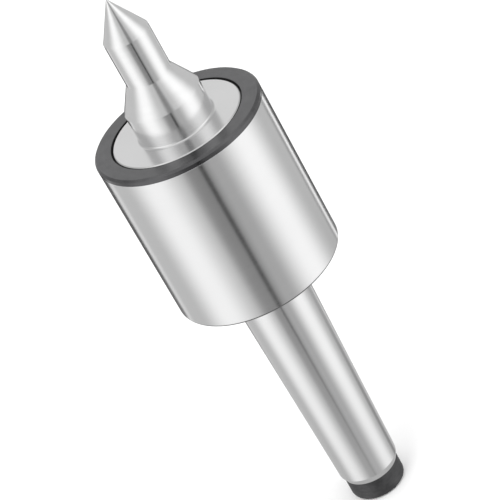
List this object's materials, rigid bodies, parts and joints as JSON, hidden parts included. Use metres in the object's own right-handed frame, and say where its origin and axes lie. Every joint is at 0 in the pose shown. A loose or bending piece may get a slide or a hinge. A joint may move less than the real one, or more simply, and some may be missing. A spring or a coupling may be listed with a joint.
{
  "type": "live center",
  "caption": "Live center for a lathe tailstock: a 60 degree point on a spindle that spins on ball and needle bearings in a round housing with a Morse taper MT2 shank.",
  "frame": {"origin": "centre of the Morse taper's gauge plane, on the axis, 5 mm behind the housing's rear face", "axes": "+Z along the spindle axis, from the shank towards the point"},
  "size_m": [0.04, 0.04, 0.1437],
  "materials": {
    "ground_steel": "cylindrically ground, satin",
    "spindle_steel": "hardened and ground, bright",
    "black_oxide": "black oxide, satin",
    "bearing_steel": "polished bearing steel",
    "sheet_steel": "pressed sheet, oiled",
    "spring_steel": "blued spring steel",
    "cage_polymer": "moulded polyamide",
    "rubber": "nitrile rubber, matt"
  },
  "bodies": {
    "housing": {"housing": "ground_steel", "shank_end_plug": "black_oxide", "front_cap": "black_oxide", "cap_o_ring": "rubber", "spindle_seal": "rubber", "front_bearing_outer_ring": "bearing_steel", "front_bearing_front_shield": "sheet_steel", "front_bearing_rear_shield": "sheet_steel", "thrust_housing_washer": "bearing_steel", "preload_spring": "spring_steel", "needle_bearing_shell": "bearing_steel"},
    "spindle": {"spindle": "spindle_steel", "front_bearing_inner_ring": "bearing_steel", "bearing_spacer": "sheet_steel", "thrust_shaft_washer": "bearing_steel"},
    "front_ball_set": {"front_bearing_balls": "bearing_steel", "front_bearing_cage": "cage_polymer"},
    "thrust_ball_set": {"thrust_balls": "bearing_steel", "thrust_cage": "sheet_steel"},
    "needle_set": {"needle_rollers": "bearing_steel", "needle_cage": "sheet_steel"}
  },
  "joints": [
    {"name": "spindle_spin", "type": "hinge", "parent": "housing", "child": "spindle", "pos_m": [0, 0, 0], "axis": [0, 0, 1], "continuous": true},
    {"name": "front_balls_orbit", "type": "hinge", "parent": "housing", "child": "front_ball_set", "pos_m": [0, 0, 0], "axis": [0, 0, 1], "continuous": true},
    {"name": "thrust_balls_orbit", "type": "hinge", "parent": "housing", "child": "thrust_ball_set", "pos_m": [0, 0, 0], "axis": [0, 0, 1], "continuous": true},
    {"name": "needles_orbit", "type": "hinge", "parent": "housing", "child": "needle_set", "pos_m": [0, 0, 0], "axis": [0, 0, 1], "continuous": true}
  ],
  "couplings": [
    {"joint": "front_balls_orbit", "follows": "spindle_spin", "ratio": 0.381},
    {"joint": "thrust_balls_orbit", "follows": "spindle_spin", "ratio": 0.5},
    {"joint": "needles_orbit", "follows": "spindle_spin", "ratio": 0.4211}
  ]
}
